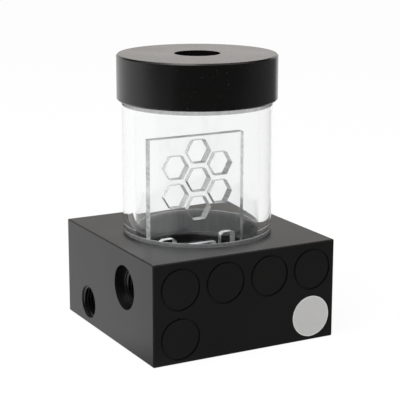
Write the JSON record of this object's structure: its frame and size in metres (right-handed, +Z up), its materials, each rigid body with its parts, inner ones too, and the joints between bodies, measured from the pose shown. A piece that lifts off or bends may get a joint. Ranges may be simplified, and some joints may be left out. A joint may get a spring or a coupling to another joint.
{
  "type": "coolant pump reservoir",
  "caption": "Clear cylindrical coolant reservoir with a screw cap, standing on a square black pump block with threaded side ports and a flush pump in its underside.",
  "frame": {"origin": "centre of the block's underside", "axes": "+Z up along the tube's axis, -Y out of the front face with the ring grooves, -X out of the face with the side ports"},
  "size_m": [0.08, 0.08, 0.1115],
  "materials": {
    "black_acetal": "milled and turned, satin",
    "clear_acrylic": "polished clear",
    "badge_metal": "satin turned",
    "seal_rubber": "smooth",
    "pump_plastic": "moulded, fine grain",
    "impeller_plastic": "moulded, smooth",
    "magnet": "bonded ferrite",
    "shaft_ceramic": "ground",
    "sleeve_carbon": "carbon graphite",
    "screw_steel": "zinc plated",
    "stator_steel": "laminated",
    "coil_copper": "enamelled wire",
    "board_green": "solder resist",
    "chip_black": "moulded"
  },
  "bodies": {
    "base": {"base_block": "black_acetal", "badge_disc": "badge_metal", "tube": "clear_acrylic", "tube_seal": "seal_rubber", "baffle": "clear_acrylic", "pump_can": "pump_plastic", "can_seal": "seal_rubber", "flange_screws_set": "screw_steel", "shaft": "shaft_ceramic", "thrust_washers": "shaft_ceramic", "inlet_spider": "pump_plastic", "stator_core": "stator_steel", "stator_coils": "coil_copper", "driver_board": "board_green", "board_parts": "chip_black", "motor_cover": "pump_plastic", "cover_screws": "screw_steel", "cable_grommet": "seal_rubber"},
    "cap_ring": {"cap_seal": "seal_rubber"},
    "cap": {"cap": "black_acetal"},
    "rotor": {"impeller": "impeller_plastic", "rotor_magnet": "magnet", "bearing_sleeve": "sleeve_carbon"}
  },
  "joints": [
    {"name": "cap_lift", "type": "slide", "parent": "base", "child": "cap_ring", "axis": [0, 0, 1], "range_m": [0, 0.008]},
    {"name": "cap_turn", "type": "hinge", "parent": "cap_ring", "child": "cap", "pos_m": [0, 0, 0.1], "axis": [0, 0, 1], "range_deg": [0, 1440]},
    {"name": "impeller_spin", "type": "hinge", "parent": "base", "child": "rotor", "pos_m": [0, 0, 0.0139], "axis": [0, 0, 1], "continuous": true}
  ],
  "couplings": [
    {"joint": "cap_lift", "follows": "cap_turn", "m_per_rad": 0.0003183}
  ]
}
